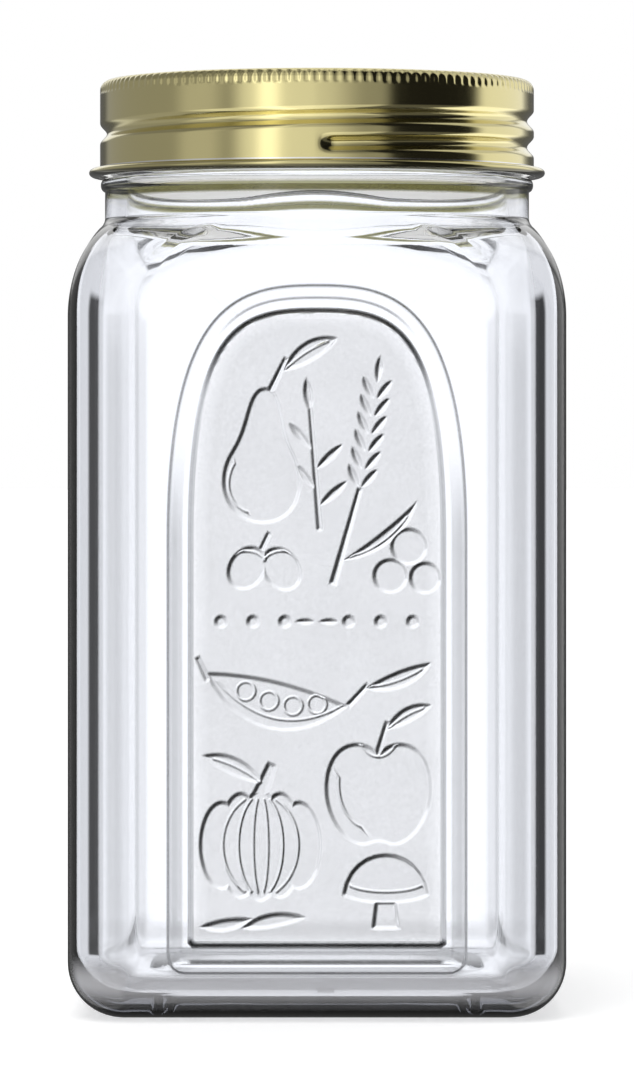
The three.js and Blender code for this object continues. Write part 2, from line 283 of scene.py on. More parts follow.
def heel_scatter(build, settings):
    """How much light the heel, marked by the mould, scatters: in its curve, and higher at the corners."""
    x, y, height = build.place()
    normal = build.parts(build.add("ShaderNodeTexCoord", output="Normal"))
    upright = normal[1].absolute().ramp(0.3, 0.62)
    front = (0 - y).ramp(-20, 20)
    curve = height.ramp(1.7, 3) * (0.1 + 0.9 * height.ramp(2.6, 9)).smaller(0.6) * (1 - height.ramp(9, 10.6))
    corners = (1 - height.ramp(8.5, 14)) * x.absolute().ramp(35, 41) * height.ramp(2, 8)
    return curve.larger(corners) * upright * (0.25 + 0.75 * front) * settings.heel_haze


def gold_material(settings):
    """Gold lacquer over tinplate: a satin metal with streaks round it, with painted shade where the curl turns
    under.
    """
    material, build = new_material("gold lacquer")
    streaks = build.noise(scale=900, detail=3, stretch=(1, 1, 0.15))
    lacquer = build.mottled(settings.gold, 0.93, build.noise(scale=60, detail=3))
    above_painted_shade = build.place()[2].ramp(BAND_LOW.z + 0.7, BAND_LOW.z + 1.2)
    # painted shade: the gold painted far darker at the bottom of the curl, where it turns under
    under = rgba([0.12 * c for c in settings.gold])
    shader = build.principled(
        Base_Color=build.mix(above_painted_shade, under, lacquer),
        Metallic=1.0,
        Roughness=0.12 + 0.06 * streaks,
        Coat_Weight=0.5,
        Coat_Roughness=0.08,
    )
    build.surface(shader)
    return material


def tin_material(settings):
    """The bare inside of the tinplate, which shows on the outward curl."""
    material, build = new_material("bare tin")
    cloud = build.noise(scale=250, detail=3)
    dull = build.mottled(settings.tin, 0.9, cloud)
    build.surface(build.principled(Base_Color=dull, Metallic=1.0, Roughness=0.18 + 0.08 * cloud))
    return material


def lining_material(settings):
    """White lining lacquer inside the closure; its glow stands for the light that the glass rim leads in."""
    material, build = new_material("white lining")
    shader = build.principled(
        Base_Color=build.mottled(settings.lining, 0.95, build.noise(scale=120, detail=2)),
        Roughness=0.45,
        Emission_Color=rgba(settings.lining),
        Emission_Strength=0.7,
    )
    build.surface(shader)
    return material


def seal_material(settings):
    """Matt sealing compound; its glow is painted light, standing for the light in the glass rim that reaches
    it.
    """
    material, build = new_material("sealing compound")
    fine = build.noise(scale=700, detail=3)
    shader = build.principled(
        Base_Color=build.mottled(settings.seal, 0.92, fine),
        Roughness=0.6 + 0.15 * fine,
        # painted light: a glow for the light that the glass rim leads in
        Emission_Color=rgba(settings.seal),
        Emission_Strength=0.5,
    )
    build.surface(shader)
    return material


# Working with meshes


def mesh_object(name, points, faces, edges=()):
    """A new, active and only selected object with its points in millimetres."""
    mesh = bpy.data.meshes.new(name)
    mesh.from_pydata([tuple(MM * c for c in point) for point in points], list(edges), faces)
    mesh.update()
    made = bpy.data.objects.new(name, mesh)
    bpy.context.scene.collection.objects.link(made)
    select_only(made)
    return made


def select_only(piece):
    bpy.ops.object.select_all(action="DESELECT")
    piece.select_set(True)
    bpy.context.view_layer.objects.active = piece


def clean_up(piece, merge):
    """Merges points closer than merge and turns the faces outwards."""
    select_only(piece)
    bpy.ops.object.mode_set(mode="EDIT")
    bpy.ops.mesh.select_all(action="SELECT")
    bpy.ops.mesh.remove_doubles(threshold=merge * MM)
    bpy.ops.mesh.normals_make_consistent(inside=False)
    bpy.ops.object.mode_set(mode="OBJECT")


def smooth(piece, degrees):
    select_only(piece)
    bpy.ops.object.shade_smooth_by_angle(angle=math.radians(degrees))


def spun(name, outline, steps):
    """A closed outline, as (reach, height) pairs, spun about the jar's axis."""
    points = [(reach, 0, height) for reach, height in outline]
    edges = [(at, (at + 1) % len(points)) for at in range(len(points))]
    piece = mesh_object(name, points, [], edges)
    bpy.ops.object.mode_set(mode="EDIT")
    bpy.ops.mesh.select_all(action="SELECT")
    bpy.ops.mesh.spin(steps=steps, angle=2 * math.pi, center=(0, 0, 0), axis=(0, 0, 1))
    bpy.ops.object.mode_set(mode="OBJECT")
    clean_up(piece, merge=0.005)
    return piece


def points_of(piece):
    """The piece's points in millimetres, one per row."""
    flat = np.empty(len(piece.data.vertices) * 3)
    piece.data.vertices.foreach_get("co", flat)
    return flat.reshape(-1, 3) / MM


def move_points(piece, points):
    piece.data.vertices.foreach_set("co", (points * MM).ravel())
    piece.data.update()


def arc(centre_x, centre_y, radius_x, radius_y, start, end, steps):
    """Points of an elliptical arc, from one angle to another in radians, both ends included."""
    angles = [start + (end - start) * step / steps for step in range(steps + 1)]
    return [(centre_x + radius_x * math.cos(a), centre_y + radius_y * math.sin(a)) for a in angles]


def smooth_step(t):
    t = np.clip(t, 0, 1)
    return t * t * (3 - 2 * t)


def between(values, low, high):
    """0 below low and 1 above high, smooth between."""
    return smooth_step((values - low) / (high - low))


def rounded_step(t):
    """From 0 to 1 with both ends round, and steeper in the middle than smooth_step."""
    return 0.5 - 0.5 * np.cos(np.pi * np.clip(t, 0, 1))


def hump(t):
    """1 at 0, falling to 0 at 1 and beyond, with both ends round."""
    return np.where(t < 1, np.cos(np.minimum(t, 1) * QUARTER) ** 2, 0)


def thread_share(turn, height, start, turns, foot, width, pitch, fades):
    """How far a right-hand thread stands at a point, 0 to 1. turn is in turns from -Y towards +X."""
    share_here = np.zeros_like(height)
    for lap in range(math.ceil(start + turns) + 1):
        along = turn + lap - start
        across = 2 * np.abs(height - foot - pitch * along) / width
        ends = np.clip(np.minimum(along / fades[0], (turns - along) / fades[1]), 0, 1)
        share_here = np.maximum(share_here, hump(across) * smooth_step(ends))
    return share_here


def turn_of(points):
    """The place of each point round the axis, in turns from -Y towards +X."""
    return (np.arctan2(points[:, 0], -points[:, 1]) / (2 * np.pi)) % 1


# The vessel

FLAT_COLUMNS = 12
CORNER_COLUMNS = 12
HALF_COLUMNS = FLAT_COLUMNS + CORNER_COLUMNS
COLUMNS = 8 * HALF_COLUMNS
PANEL_COLUMN = 10
FRONT_FOOT, FRONT_TOP = 9.1, 151
TANGENT_SUPPORT = 0.012
WALL_MARGIN = 0.6

BODY_HALF = VESSEL_HIGH.x
VESSEL_HEIGHT = VESSEL_HIGH.z
BAND_RADIUS = 46.25
BAND_BOTTOM = BAND_LOW.z
GAP = 0.3
BEAD_TOP = BAND_BOTTOM - GAP
BEAD_HEIGHT = 2.7
FINISH_RADIUS = 44
GROOVE_FOOT = BAND_BOTTOM + 5.1
RIDGE_HEIGHT = 1.35


def squared(reach, straight, wall_straight, column):
    """A point of a square with round corners. column counts from the front's middle towards +X."""
    side, within = divmod(column, 2 * HALF_COLUMNS)
    corner = reach - straight
    flat = FLAT_COLUMNS * straight / wall_straight
    mirrored = within > HALF_COLUMNS
    step = 2 * HALF_COLUMNS - within if mirrored else within
    if step <= flat and flat > 0:
        last = (FLAT_COLUMNS - 1) / FLAT_COLUMNS
        spread = float(np.interp(step / flat, (0, last, 1), (0, 1 - TANGENT_SUPPORT, 1)))
        along, out = straight * spread, reach
    else:
        angle = (step - flat) / (HALF_COLUMNS - flat) * math.pi / 4
        along, out = straight + corner * math.sin(angle), straight + corner * math.cos(angle)
    if mirrored:
        along, out = out, along
    return ((along, -out), (out, along), (-along, out), (-out, -along))[side % 4]


def row_point(row, wall_straight, column):
    """A point of a row: (reach, height, straight) and how much of its section is square, where that is less
    than all."""
    reach, _, straight = row[:3]
    x, y = squared(reach, straight, wall_straight, column) if reach else (0.0, 0.0)
    if len(row) == 3:
        return x, y
    round_share = 1 - row[3]
    angle = math.pi * column / (4 * HALF_COLUMNS)
    return (
        x * row[3] + round_share * reach * math.sin(angle),
        y * row[3] - round_share * reach * math.cos(angle),
    )


def shoulder_rows(wall_reach, wall_straight, rise, tuck, neck_reach, foot_height, fillet, steps):
    """The shoulder from the top of the square wall to the round neck, as rows. It is a quarter ellipse that
    would end inside the neck by tuck, and a fillet, (width, height), leads from it into the neck."""
    overhang = wall_reach - neck_reach + tuck
    tuck_share = tuck / overhang
    last_share = (tuck + fillet[0]) / overhang
    rows = []
    for x, z in arc(0, foot_height, 1, rise, 0, math.acos(last_share), steps):
        squareness = ((x - tuck_share) / (1 - tuck_share)) ** 0.85
        rows.append((neck_reach - tuck + overhang * x, z, wall_straight, squareness))
    last = Vector((rows[-1][0], rows[-1][1], rows.pop()[3]))
    bend = Vector((neck_reach, foot_height + rise * math.sqrt(1 - tuck_share**2), 0))
    end = Vector((neck_reach, last.y + fillet[1], 0))
    for step in range(9):
        t = step / 8
        reach, height, squareness = (1 - t) ** 2 * last + 2 * t * (1 - t) * bend + t * t * end
        rows.append((reach, height, wall_straight, squareness))
    return rows


def rows_of(points, straight):
    """Rows with one straight stretch from (reach, height) points."""
    return [(reach, height, straight) for reach, height in points]


def base_rows(settings):
    """The underside's hollow, the ring that the jar stands on, and the heel."""
    ring_width, hollow_slope, hollow_height, hollow_corner = 5, 4, 2.4, 9
    foot = BODY_HALF - settings.heel_radius
    ring = foot - ring_width
    hollow = ring - hollow_slope
    slope = [
        (hollow + hollow_slope * share_out, hollow_height * (1 - float(rounded_step(share_out))))
        for share_out in (0.15, 0.3, 0.45, 0.6, 0.75, 0.9)
    ]
    heel = arc(foot, settings.heel_radius, settings.heel_radius, settings.heel_radius, -QUARTER, 0, 14)
    return [
        (0, hollow_height, 0),
        (hollow / 2, hollow_height, hollow / 2 - hollow_corner / 2),
        (hollow, hollow_height, hollow - hollow_corner),
        *[(reach, height, reach - hollow_corner) for reach, height in slope],
        (ring, 0, ring - hollow_corner),
        *rows_of(heel, BODY_HALF - settings.corner_radius),
    ]


def finish_rows(settings):
    """The bead, the part that carries the thread, and the lip."""
    neck, mouth = settings.neck_diameter / 2, settings.mouth_diameter / 2
    lip, bead_reach, thread_levels = 1.1, 0.9, 46
    lip_foot = VESSEL_HEIGHT - lip
    thread_foot = BEAD_TOP + (neck - FINISH_RADIUS) / 2
    level_gap = (lip_foot - thread_foot) / thread_levels
    bead = arc(neck, BEAD_TOP - BEAD_HEIGHT / 2, bead_reach, BEAD_HEIGHT / 2, -QUARTER, QUARTER, 14)
    points = [
        (neck, BEAD_TOP - BEAD_HEIGHT - 0.4),
        *bead,
        *[(FINISH_RADIUS, thread_foot + level_gap * level) for level in range(thread_levels)],
        *arc(FINISH_RADIUS - lip, lip_foot, lip, lip, 0, QUARTER, 7),
        *arc(mouth + lip, lip_foot, lip, lip, QUARTER, math.pi, 7),
        (mouth, lip_foot - 0.5),
    ]
    return rows_of(points, 0)


def vessel_rows(settings):
    """The glass's levels, up the outside, over the lip and down the inside, and how many are outside."""
    straight = BODY_HALF - settings.corner_radius
    inner_reach = BODY_HALF - settings.wall
    inner_straight = inner_reach - settings.inner_corner_radius
    neck, mouth = settings.neck_diameter / 2, settings.mouth_diameter / 2
    foot, rise, tuck = settings.shoulder_height, settings.shoulder_rise, settings.shoulder_tuck
    outside = [
        *base_rows(settings),
        (BODY_HALF, settings.heel_radius + WALL_MARGIN, straight),
        (BODY_HALF, foot - WALL_MARGIN, straight),
        *shoulder_rows(BODY_HALF, straight, rise, tuck, neck, foot, fillet=(1.1, 2.3), steps=26),
    ]
    inner_tuck, inner_heel, fillet = 2.6, 7, (2.8, 6)
    inner = shoulder_rows(inner_reach, inner_straight, rise - 1.8, inner_tuck, mouth, foot, fillet, steps=22)
    floor_reach = inner_reach - inner_heel
    bend_height = settings.floor_height + inner_heel
    inside = [
        *reversed(inner),
        (inner_reach, foot - WALL_MARGIN, inner_straight),
        (inner_reach, bend_height + WALL_MARGIN, inner_straight),
        *rows_of(arc(floor_reach, bend_height, inner_heel, inner_heel, 0, -QUARTER, 12), inner_straight),
        (floor_reach * 0.97, settings.floor_height, inner_straight * 0.97),
        (floor_reach * 0.5, settings.floor_height, inner_straight * 0.5),
        (0, settings.floor_height, 0),
    ]
    return [*outside, *finish_rows(settings), *inside], len(outside)


def arch_outline(width, foot, top, crown_share, foot_radius):
    """The panel's arch as (x, z) points, anticlockwise seen from the front, evenly spaced."""
    half, spring = width / 2, 98.4
    side = spring + 0.96 * (top - spring)
    corner_x, corner_z = half - foot_radius, foot + foot_radius
    points = [
        (-corner_x, foot),
        *arc(corner_x, corner_z, foot_radius, foot_radius, -QUARTER, 0, 8),
        *bezier((half, spring), (half, side), (crown_share * half, top), (0, top), 40),
        *bezier((0, top), (-crown_share * half, top), (-half, side), (-half, spring), 40)[1:],
        *arc(-corner_x, corner_z, foot_radius, foot_radius, math.pi, 3 * QUARTER, 8)[:-1],
    ]
    return even(points, 1.4)


def bezier(a, b, c, d, steps):
    """Points of a cubic curve with handles b and c."""
    points = []
    for step in range(steps + 1):
        t = step / steps
        weights = ((1 - t) ** 3, 3 * t * (1 - t) ** 2, 3 * t * t * (1 - t), t**3)
        points.append(tuple(sum(w * p[i] for w, p in zip(weights, (a, b, c, d))) for i in (0, 1)))
    return points


def even(points, spacing, closed=True):
    """The same line with points about spacing apart; corners sharper than 20 degrees are kept."""
    line = np.array(points + points[:1] if closed else points, float)
    ways = np.diff(line, axis=0)
    left, ahead = ((ways[1:] * to).sum(1) for to in (leftwards(ways[:-1]), ways[:-1]))
    sharp = np.abs(np.arctan2(left, ahead)) > math.radians(20)
    kept = [0, *(np.flatnonzero(sharp) + 1), len(line) - 1]
    travelled = np.concatenate([[0], np.cumsum(np.hypot(*ways.T))])
    result = []
    for first, last in zip(kept, kept[1:]):
        span = travelled[last] - travelled[first]
        count = max(1, round(span / spacing))
        at = travelled[first] + span * np.arange(count) / count
        result += list(zip(np.interp(at, travelled, line[:, 0]), np.interp(at, travelled, line[:, 1])))
    if not closed:
        result.append(tuple(line[-1]))
    return np.array(result)


def unit(ways):
    """Each way at length 1."""
    return ways / np.hypot(*ways.T)[:, None]


def leftwards(ways):
    """Each way turned a quarter to the left."""
    return np.stack([-ways[:, 1], ways[:, 0]], 1)


def offset(outline, inward):
    """A closed outline moved inwards, point by point."""
    first = unit(outline - np.roll(outline, 1, axis=0))
    second = unit(np.roll(outline, -1, axis=0) - outline)
    along = unit(first + second)
    cosine = np.clip((along * first).sum(1), 0.5, 1)
    return outline + leftwards(along) * (inward / cosine)[:, None]


def sideways(line):
    """The unit step to the left of an open line at each of its points."""
    return leftwards(unit(np.gradient(line, axis=0)))


def gap_to_line(points, line):
    """How far each point lies from an open line."""
    nearest = np.full(len(points), np.inf)
    for start, end in zip(line, line[1:]):
        leg, to = end - start, points - start
        t = np.clip(to @ leg / (leg @ leg), 0, 1)
        nearest = np.minimum(nearest, np.hypot(*(to - t[:, None] * leg).T))
    return nearest


def depth_inside(points, outline):
    """How far each point lies inside a closed outline; negative outside."""
    line = np.vstack([outline, outline[:1]])
    crossings = np.zeros(len(points), int)
    for (x, z), (next_x, next_z) in zip(line, line[1:]):
        spans = (z > points[:, 1]) != (next_z > points[:, 1])
        rise = next_z - z or 1.0
        crossings += spans & (points[:, 0] < (next_x - x) * (points[:, 1] - z) / rise + x)
    gap = gap_to_line(points, line)
    return np.where(crossings % 2 == 1, gap, -gap)


# The front panel's relief

# Raised shapes have round edges, and grooves are pressed into them. Places are (x, z) in millimetres on the
# front face.

SHAPE_EDGE = 0.8
GROOVE_HALF = 0.42
LEDGE_STEP = 0.55
LEDGE_SLOPE = 2.9
FIELD_STEP = 0.9
STEEP_SHARE = 0.6
RELIEF_SPACING = 0.7
STEP_SHARES = (0, 0.17, 0.33, 0.5, 0.67, 0.83, 1)
# The attribute that holds how bright the glass is painted: painted shade and painted highlights, 1 where
# neither
PAINTED_LIGHT = "painted_light"
STIPPLE = "stipple"


def ellipse(centre, radius_x, radius_z, tilt=0, steps=40):
    turn = math.radians(tilt)
    right, up = np.array([math.cos(turn), math.sin(turn)]), np.array([-math.sin(turn), math.cos(turn)])
    points = arc(0, 0, radius_x, radius_z, 0, 4 * QUARTER, steps)[:-1]
    return [tuple(centre + x * right + z * up) for x, z in points]


def chain(*curves, closed=True):
    """One line from cubic curves that follow each other."""
    points = list(bezier(*curves[0], 12))
    for curve in curves[1:]:
        points += bezier(points[-1], *curve, 12)[1:]
    return points[:-1] if closed else points


def axis(foot, tip):
    """The foot, the way from it to the tip, and the unit step to the right of that way."""
    along = np.subtract(tip, foot)
    return np.array(foot, float), along, np.array([along[1], -along[0]]) / np.hypot(*along)


def leaf(foot, tip, width, sag=0.0):
    """A pointed leaf, anticlockwise. sag bends it to its right-hand side."""
    foot, along, aside = axis(foot, tip)
    right, left = (sag + 0.68 * width) * aside, (sag - 0.68 * width) * aside
    low, high = foot + 0.3 * along, foot + 0.75 * along
    return chain((foot, low + right, high + right, foot + along), (high + left, low + left, foot))


def groove(*curve):
    """An open line along one cubic curve."""
    return chain(curve, closed=False)


def midrib(foot, tip, sag=0.0):
    """The groove along the middle of a leaf."""
    foot, along, aside = axis(foot, tip)
    bends = ((0, 0), (0.3, 1), (0.6, 1), (0.85, 0.5))
    return groove(*[foot + share_up * along + bend * sag * aside for share_up, bend in bends])


def stick(start, end, first_width, last_width):
    """A straight stalk, anticlockwise."""
    start, along, aside = axis(start, end)
    corners = ((0, first_width), (1, last_width), (1, -last_width), (0, -first_width))
    return [tuple(start + share_up * along + width / 2 * aside) for share_up, width in corners]


PEAR = chain(
    ((-10.5, 129.5), (-14.5, 129.5), (-14, 122), (-17.2, 117)),
    ((-22, 110), (-18.5, 101.5), (-11, 101.5)),
    ((-3.5, 101.5), (-1, 110), (-5, 117)),
    ((-7.4, 121.5), (-6.5, 129.5), (-10.5, 129.5)),
)
APPLE = chain(
    ((12.5, 55), (10, 58.5), (2, 58.5), (1.5, 48.5)),
    ((1.2, 40.5), (7, 35), (10.4, 36.2)),
    ((11.8, 36.9), (13.2, 36.9), (14.6, 36.2)),
    ((18, 35), (23.8, 40.5), (23.5, 48.5)),
    ((23, 58.5), (15, 58.5), (12.5, 55)),
)
POD = chain(
    ((-23, 71.5), (-17, 58.5), (-4, 55.5), (6.5, 64.5)),
    ((-2, 68.5), (-12, 71.5), (-23, 71.5)),
)
CAP = chain(((5, 26), (8.5, 23.6), (19.5, 23.6), (23, 26)), ((21.5, 37.5), (6.5, 37.5), (5, 26)))
GRAIN_ROWS = 6
PUMPKIN_X = -11.5
DOTS_Z = 81.7


def ear_place(t):
    """A place along the wheat's ear and its direction, in degrees from the right."""
    return 8.6 + 4.6 * t - 0.9 * t * t, 108.5 + 21.5 * t, 80 + 4 * t


def grain(t, lean, start, end):
    """A grain of the wheat's ear, from start to end away from the ear's middle."""
    x, z, heading = ear_place(t)
    turn = math.radians(heading + lean)
    foot, tip = ((x + reach * math.cos(turn), z + reach * math.sin(turn)) for reach in (start, end))
    return leaf(foot, tip, 1.75)


def relief_shapes():
    """Closed outlines of the raised shapes, all anticlockwise."""
    shapes = [
        PEAR,
        stick((-9.8, 128), (-6.2, 135.5), 1.7, 1.2),
        leaf((-7, 132.5), (4.5, 139.5), 4.2, -1),
        ellipse((-14.2, 92.6), 3.9, 4.9, -35),
        ellipse((-7.2, 92.4), 3.9, 4.9, 35),
        stick((-11.5, 96), (-9.6, 100), 1.3, 1.2),
        stick((3.2, 89), (8.8, 109), 1.9, 1.3),
        leaf((4.8, 94), (20.5, 106.5), 2.8, 2.6),
        ellipse((18.7, 97), 3.9, 3.9),
        ellipse((22, 90.6), 3.4, 3.4),
        ellipse((14.9, 91), 3.7, 3.7),
        stick((0.6, 100), (-1.4, 125.5), 1.5, 1.1),
        *[leaf((0.6 - 0.08 * z, 100 + z), (7 - 0.12 * z, 105.5 + z), 1.9) for z in (5, 12.5)],
        *[leaf((0.6 - 0.08 * z, 100 + z), (-4.2 - 0.1 * z, 105.8 + z), 1.9) for z in (8.5, 16.5)],
        leaf((-1.3, 124), (-2.2, 131.5), 2.1),
        POD,
        stick((-22, 69.5), (-24.4, 74.6), 1.7, 1.3),
        leaf((9.5, 68), (23.5, 73.5), 3.6, 1.2),
        stick((6.2, 64.4), (10.5, 69), 1.4, 1.3),
        APPLE,
        stick((12.2, 54), (14.4, 61.5), 1.7, 1.3),
        leaf((13.8, 59.5), (23.6, 64.8), 3.2, -0.8),
        *[ellipse((PUMPKIN_X + x, 36.2), 4.8, 11.6 - 0.04 * x * x) for x in (-7.8, -4, 0, 4, 7.8)],
        stick((-11.8, 46), (-9, 53), 3.4, 2.2),
        leaf((-10.5, 48.5), (-23.5, 54.5), 3.8, 1),
        CAP,
        stick((14, 19), (14, 25), 6, 4.6),
        leaf((-2, 21.5), (-15.5, 19.2), 3, 0.8),
        leaf((-13, 21.3), (-24, 19.6), 2.6, -0.6),
    ]
    for row in range(GRAIN_ROWS):
        for side in (-1, 1):
            shapes.append(grain(row / GRAIN_ROWS, 32 * side, 0.4, 5.9))
    shapes.append(grain(1, 0, 0, 6))
    for x in (-19.5, -13, -6.5, 6.5, 13, 19.5):
        shapes.append(ellipse((x, DOTS_Z), 1.5, 1.5, steps=20))
    shapes += [leaf((0.2 * side, DOTS_Z), (4.6 * side, DOTS_Z), 1.5) for side in (-1, 1)]
    return shapes


def relief_grooves():
    """Open lines pressed into the shapes."""
    grooves = [
        groove((-16.8, 114), (-19.4, 109.5), (-17.6, 105), (-14, 104)),
        midrib((-6.5, 133), (4, 139.2), -1),
        groove((-18, 94.4), (-16, 96.8), (-12, 96.6), (-10.6, 94.2)),
        groove((-10.8, 94.2), (-9.4, 96.6), (-5.4, 96.8), (-3.4, 94.4)),
        midrib((5.6, 94.6), (19.5, 105.6), 2.6),
        groove((-20.5, 69.8), (-13, 61), (-4, 59.5), (5, 64.6)),
        midrib((10.3, 68.4), (22.8, 73.2), 1.2),
        groove((4.4, 50), (4, 44.5), (6.4, 41), (9, 40)),
        midrib((14.6, 60), (23, 64.4), -0.8),
        midrib((-11.5, 49), (-22.8, 54.1), 1),
        groove((6.8, 28), (10, 26.4), (18, 26.4), (21.2, 28)),
        groove((9, 56.6), (11, 53.4), (14, 53.4), (16, 56.6)),
    ]
    for x in (-9.2, -5.4, -1.8, 1.8, 5.4, 9.2):
        end, side = PUMPKIN_X + 0.35 * x, PUMPKIN_X + x
        grooves.append(groove((end, 45.5), (side, 41.5), (side, 31), (end, 26.8)))
    for x, z in ((-14.5, 66.4), (-9.8, 64.4), (-4.9, 63.4), (0, 63.7)):
        pea = ellipse((x, z + 1.2), 1.9, 1.9, steps=20)
        grooves.append([*pea, pea[0]])
    return grooves


def relief_lines():
    """The relief's closed outlines and its grooves as evenly spaced points."""
    shapes = [even(line, RELIEF_SPACING) for line in relief_shapes()]
    return shapes, [even(line, RELIEF_SPACING, closed=False) for line in relief_grooves()]


def panel_lines(settings):
    """Where the panel's steps run: the ledge's outline and the field's."""
    ledge = arch_outline(settings.panel_width, foot=10, top=150.4, crown_share=0.5, foot_radius=3.7)
    field = arch_outline(settings.panel_width - 8.8, foot=15.5, top=145.4, crown_share=0.58, foot_radius=0.8)
    return ledge, field


def near_box(points, line, margin):
    """Which points lie inside the box round a line, made larger by the margin."""
    return ((points > line.min(0) - margin) & (points < line.max(0) + margin)).all(1)


def relief_height(points, shapes, grooves):
    """How far the relief stands at each (x, z), 0 to 1."""
    raised = np.zeros(len(points))
    for line in shapes:
        near = near_box(points, line, 0.1)
        raised[near] = np.maximum(raised[near], chamfer(depth_inside(points[near], line) / SHAPE_EDGE))
    for line in grooves:
        near = near_box(points, line, 1) & (raised > 0.5)
        raised[near] -= 0.6 * hump(gap_to_line(points[near], line) / GROOVE_HALF)
    return raised


def chamfer(t):
    """From 0 to 1 at an even slope, with the two ends a little round."""
    t = np.clip(t, 0, 1)
    return 0.35 * rounded_step(t) + 0.65 * t


def bell(t):
    """0 at 0 and at 1, and 1 between them."""
    return np.sin(np.pi * np.clip(t, 0, 1))


def relief_facing(points, shapes, grooves):
    """How steeply the relief faces up and to the left, where its edges get painted shade; below 0 the other
    way, where they get painted highlights."""
    reach, steepest = 0.12, 1.642
    right, up = (
        relief_height(points + way, shapes, grooves) - relief_height(points - way, shapes, grooves)
        for way in (np.array([reach, 0]), np.array([0, reach]))
    )
    return (right - up) / (2 * reach) * SHAPE_EDGE / steepest


def panel_painted_light(points, in_ledge, in_field):
    """How bright the glass is painted at each (x, z) of the panel: painted shade on the steps' edges, most so
    in the crown, and the field painted a little grey, greyer further in.
    """
    x, z = points.T
    crown, side_crown, foot = between(z, 118, 142), between(z, 96, 122), 1 - between(z, 12, 17)
    painted_light = 1 - (0.55 + 0.25 * crown + 0.1 * foot) * bell((in_ledge + 0.05) / (LEDGE_STEP + 0.1)) ** 0.6
    slope = between(in_ledge, 0.5, 0.8) * (1 - between(in_ledge, LEDGE_SLOPE, LEDGE_SLOPE + 0.5))
    painted_light *= 1 - 0.33 * slope * (1 - side_crown) * (1 - foot)
    painted_light *= 1 - 0.65 * between(z, 139, 146) * bell((in_ledge - LEDGE_SLOPE + 0.4) / 0.6) ** 0.7
    foot_line = (np.abs(x) < 25.5) * (z < 14)
    painted_light *= 1 - 0.9 * foot * foot_line * bell((in_ledge - 1.9) / 1.2) ** 0.6
    painted_light *= 1 - 0.22 * foot * (in_field < 0) * between(in_ledge, 2.7, 3)
    line = np.maximum(between(z, 126, 138), 1 - between(z, 16.6, 17.2))
    painted_light *= 1 - (0.3 + 0.68 * line) * bell((in_field + 0.28) / (FIELD_STEP + 0.35)) ** 0.35
    return np.where(in_field > FIELD_STEP, 0.87 - 0.12 * between(in_field, 0.8, 3.8), painted_light)


def moulding(points, settings):
    """The panel at each (x, z): its depth below the flat front, how bright its glass is painted with painted
    shade and painted highlights, and where it is stippled."""
    ledge, field = panel_lines(settings)
    shapes, grooves = relief_lines()
    in_ledge, in_field = depth_inside(points, ledge), depth_inside(points, field)
    slope = rounded_step((in_ledge - LEDGE_STEP) / (LEDGE_SLOPE - LEDGE_STEP))
    ledge_share = STEEP_SHARE * rounded_step(in_ledge / LEDGE_STEP) + (1 - STEEP_SHARE) * slope
    depth = settings.ledge_depth * ledge_share + settings.field_depth * chamfer(in_field / FIELD_STEP)
    depth -= settings.relief_height * relief_height(points, shapes, grooves)
    facing = relief_facing(points, shapes, grooves)
    painted_light = panel_painted_light(points, in_ledge, in_field)
    # painted shade on the relief's edges that face up and to the left
    painted_light *= 1 - 0.97 * np.clip(1.3 * facing, 0, 1) ** 0.7
    # painted highlight on the relief's edges that face down and to the right
    painted_light += (1.05 - painted_light) * np.clip(-1.4 * facing, 0, 1)
    return depth, painted_light, between(in_field, 0.6, 1)


class Net:
    """Points and lines in the front that its triangles keep."""

    def __init__(self):
        self.points, self.edges = [], []

    def add(self, line, closed=True):
        start, count = len(self.points), len(line)
        self.points += [Vector(point) for point in line]
        self.edges += [(start + at, start + at + 1) for at in range(count - 1)]
        if closed:
            self.edges.append((start + count - 1, start))

    def fill(self):
        """Points (x, z) and triangles."""
        inside_only, least_gap = 1, 1e-4
        found = delaunay_2d_cdt(self.points, self.edges, [], inside_only, least_gap, False)
        return np.array([tuple(point) for point in found[0]]), [tuple(face) for face in found[2]]


def front_net(settings, rows, first, last):
    """A net over the front between two levels of the wall that follows the panel's edges and the relief, with
    the levels' own points on its rim."""
    straight = BODY_HALF - settings.corner_radius
    net = Net()

    def level(at, columns):
        return [(row_point(rows[at], straight, column)[0], rows[at][1]) for column in columns]

    bottom = level(first, range(-PANEL_COLUMN, PANEL_COLUMN + 1))
    top = level(last, range(PANEL_COLUMN, -PANEL_COLUMN - 1, -1))
    across = [level(at, (-PANEL_COLUMN, PANEL_COLUMN)) for at in range(first + 1, last)]
    net.add([*bottom, *[right for _, right in across], *top, *[left for left, _ in reversed(across)]])
    for ends in across:
        net.add(ends, closed=False)
    ledge, field = panel_lines(settings)
    for outline, width in ((ledge, LEDGE_STEP), (field, FIELD_STEP)):
        for inset in (-0.3, -0.15, *[width * share_in for share_in in STEP_SHARES], width + 0.3):
            net.add(offset(outline, inset))
    for inset in (1.2, 2.1, 2.35, 2.6, 2.75, 2.9, 3.05, 3.2, 3.5):
        net.add(offset(ledge, inset))
    for inset in (2.2, 4.2):
        net.add(offset(field, inset))
    shapes, grooves = relief_lines()
    for line in shapes:
        narrow = min(np.ptp(line[:, 0]), np.ptp(line[:, 1])) < 2.5
        for inset in (-0.25, 0, 0.16, 0.32, 0.48, 0.64, 0.8, *(() if narrow else (1.05,))):
            net.add(offset(line, inset))
    for line in grooves:
        for distance in (-0.6, -GROOVE_HALF, -0.21, 0, 0.21, GROOVE_HALF, 0.6):
            net.add(line + distance * sideways(line), closed=False)
    return net


